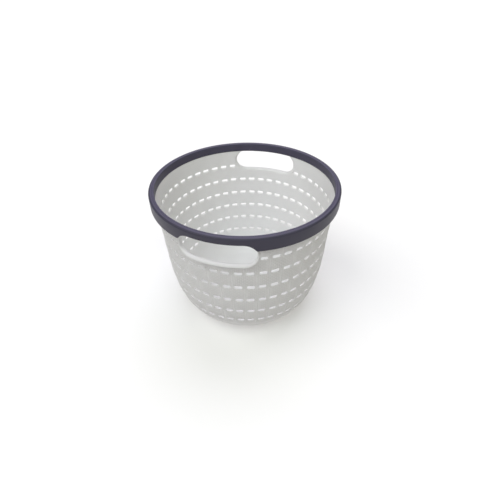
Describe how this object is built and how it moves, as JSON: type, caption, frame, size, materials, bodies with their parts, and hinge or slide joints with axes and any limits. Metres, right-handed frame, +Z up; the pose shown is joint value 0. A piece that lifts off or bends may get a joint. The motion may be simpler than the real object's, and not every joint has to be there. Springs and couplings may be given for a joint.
{
  "type": "storage basket",
  "caption": "Round bowl-bottomed storage basket, its wall pierced with rings of short slots, with a separate rim band and a collared hand opening on each side.",
  "frame": {"origin": "centre of the underside of the foot ring, where the basket stands", "axes": "+Z up through the middle of the mouth, the hand openings face -Y and +Y, +X runs across them"},
  "size_m": [0.231, 0.231, 0.1804],
  "materials": {
    "body_plastic": "light warm-grey satin polypropylene, finely woven texture outside and smooth inside",
    "band_plastic": "dark plum-grey satin polypropylene"
  },
  "bodies": {
    "root": {"basket_body": "body_plastic", "rim_band": "band_plastic"}
  },
  "joints": []
}
